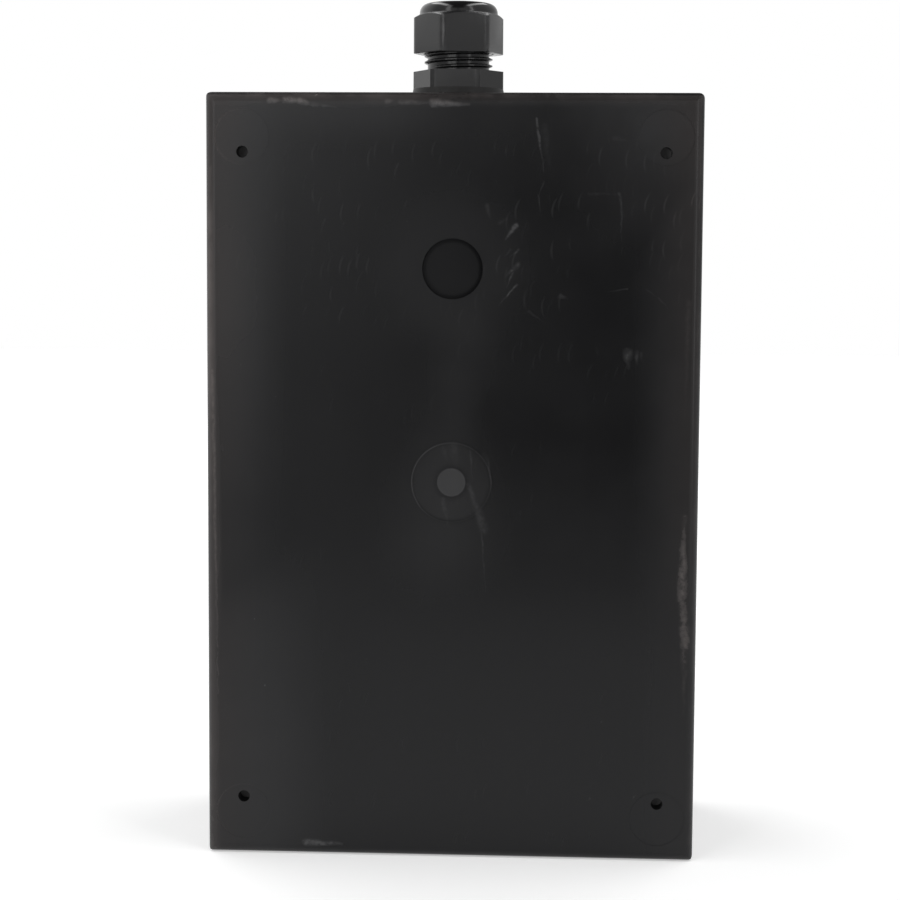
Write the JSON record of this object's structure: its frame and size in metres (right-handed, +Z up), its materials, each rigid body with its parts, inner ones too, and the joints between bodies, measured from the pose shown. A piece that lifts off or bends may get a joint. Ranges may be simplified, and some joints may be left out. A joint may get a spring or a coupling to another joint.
{
  "type": "cellular signal booster",
  "caption": "Flat black plastic wall case of a cellular signal booster: screwed cover, cable gland on the top end, amplifier board and patch antenna inside.",
  "frame": {"origin": "middle of the flat lower end of the case, halfway between back face and front face", "axes": "+Z up towards the cable gland, -Y out of the mounting (back) face, +Y out of the cover"},
  "size_m": [0.15, 0.075, 0.2629],
  "materials": {
    "case_plastic": "semi-gloss black ABS, scuffed with use",
    "gland_nylon": "moulded black nylon, satin",
    "seal_rubber": "black sealing rubber",
    "gasket_foam": "grey-black foam rubber",
    "screw_steel": "zinc-plated steel",
    "chassis_aluminium": "milled aluminium sheet",
    "spacer_brass": "turned brass",
    "board_laminate": "green solder mask over laminate",
    "thermal_silicone": "soft grey-blue silicone",
    "shield_tin": "tinned sheet steel",
    "chip_epoxy": "black moulding compound",
    "duplexer_silver": "silver-plated aluminium",
    "capacitor_sleeve": "dark blue printed-free sleeve",
    "inductor_ferrite": "pressed ferrite powder",
    "terminal_plastic": "green glass-filled nylon",
    "jack_gold": "gold-plated brass",
    "insulator_white": "white fluoropolymer or nylon",
    "switch_red": "red moulded plastic",
    "led_green": "tinted clear epoxy",
    "patch_copper": "lacquered copper sheet"
  },
  "bodies": {
    "housing": {"rear_housing": "case_plastic", "gland_body": "gland_nylon", "gland_locknut": "gland_nylon", "gland_washer": "seal_rubber", "chassis_plate": "chassis_aluminium", "chassis_screws": "screw_steel", "board_spacers": "spacer_brass", "spacer_screws": "screw_steel", "main_board": "board_laminate", "board_screws": "screw_steel", "thermal_pads": "thermal_silicone", "uplink_shield": "shield_tin", "downlink_shield": "shield_tin", "amplifier_chips": "chip_epoxy", "donor_duplexer": "duplexer_silver", "server_duplexer": "duplexer_silver", "tuning_screws": "spacer_brass", "filter_capacitors": "capacitor_sleeve", "power_inductor": "inductor_ferrite", "controller_chip": "chip_epoxy", "terminal_block": "terminal_plastic", "terminal_screws": "screw_steel", "coax_jack": "jack_gold", "jack_insulator": "insulator_white", "dip_switch": "switch_red", "status_leds": "led_green", "antenna_reflector": "chassis_aluminium", "reflector_spacers": "spacer_brass", "reflector_screws": "screw_steel", "antenna_patch": "patch_copper", "patch_spacers": "insulator_white", "patch_screws": "insulator_white", "feed_pin": "jack_gold", "feed_bush": "insulator_white"},
    "cover": {"front_cover": "case_plastic", "cover_gasket": "gasket_foam"},
    "seal": {"gland_seal": "seal_rubber"},
    "nut": {"gland_nut": "gland_nylon"},
    "washer_1": {"screw_washer_1": "seal_rubber"},
    "screw_1": {"cover_screw_1": "screw_steel"},
    "washer_2": {"screw_washer_2": "seal_rubber"},
    "screw_2": {"cover_screw_2": "screw_steel"},
    "washer_3": {"screw_washer_3": "seal_rubber"},
    "screw_3": {"cover_screw_3": "screw_steel"},
    "washer_4": {"screw_washer_4": "seal_rubber"},
    "screw_4": {"cover_screw_4": "screw_steel"},
    "lever_1": {"dip_lever_1": "insulator_white"},
    "lever_2": {"dip_lever_2": "insulator_white"},
    "lever_3": {"dip_lever_3": "insulator_white"},
    "lever_4": {"dip_lever_4": "insulator_white"}
  },
  "joints": [
    {"name": "cover_lift", "type": "slide", "parent": "housing", "child": "cover", "axis": [0, 1, 0], "range_m": [0, 0.08]},
    {"name": "screw_1_lift", "type": "slide", "parent": "cover", "child": "washer_1", "axis": [0, 1, 0], "range_m": [0, 0.0108]},
    {"name": "screw_1_turn", "type": "hinge", "parent": "washer_1", "child": "screw_1", "pos_m": [-0.0637, 0.025, 0.0088], "axis": [0, 1, 0], "range_deg": [-15, 2195]},
    {"name": "screw_2_lift", "type": "slide", "parent": "cover", "child": "washer_2", "axis": [0, 1, 0], "range_m": [0, 0.0108]},
    {"name": "screw_2_turn", "type": "hinge", "parent": "washer_2", "child": "screw_2", "pos_m": [0.0637, 0.025, 0.0088], "axis": [0, 1, 0], "range_deg": [-15, 2195]},
    {"name": "screw_3_lift", "type": "slide", "parent": "cover", "child": "washer_3", "axis": [0, 1, 0], "range_m": [0, 0.0108]},
    {"name": "screw_3_turn", "type": "hinge", "parent": "washer_3", "child": "screw_3", "pos_m": [-0.0637, 0.025, 0.2252], "axis": [0, 1, 0], "range_deg": [-15, 2195]},
    {"name": "screw_4_lift", "type": "slide", "parent": "cover", "child": "washer_4", "axis": [0, 1, 0], "range_m": [0, 0.0108]},
    {"name": "screw_4_turn", "type": "hinge", "parent": "washer_4", "child": "screw_4", "pos_m": [0.0637, 0.025, 0.2252], "axis": [0, 1, 0], "range_deg": [-15, 2195]},
    {"name": "seal_press", "type": "slide", "parent": "housing", "child": "seal", "axis": [0, 0, 1], "range_m": [-0.0051, 0.0061]},
    {"name": "nut_turn", "type": "hinge", "parent": "seal", "child": "nut", "pos_m": [0, -0.0095, 0.255], "axis": [0, 0, 1], "range_deg": [-900, 1080]},
    {"name": "lever_1_slide", "type": "slide", "parent": "housing", "child": "lever_1", "axis": [0, 0, 1], "range_m": [0, 0.002]},
    {"name": "lever_2_slide", "type": "slide", "parent": "housing", "child": "lever_2", "axis": [0, 0, 1], "range_m": [0, 0.002]},
    {"name": "lever_3_slide", "type": "slide", "parent": "housing", "child": "lever_3", "axis": [0, 0, 1], "range_m": [0, 0.002]},
    {"name": "lever_4_slide", "type": "slide", "parent": "housing", "child": "lever_4", "axis": [0, 0, 1], "range_m": [0, 0.002]}
  ],
  "couplings": [
    {"joint": "screw_1_turn", "follows": "screw_1_lift", "rad_per_m": 3490.7},
    {"joint": "screw_2_turn", "follows": "screw_2_lift", "rad_per_m": 3490.7},
    {"joint": "screw_3_turn", "follows": "screw_3_lift", "rad_per_m": 3490.7},
    {"joint": "screw_4_turn", "follows": "screw_4_lift", "rad_per_m": 3490.7},
    {"joint": "seal_press", "follows": "nut_turn", "m_per_rad": 0.00031831}
  ]
}
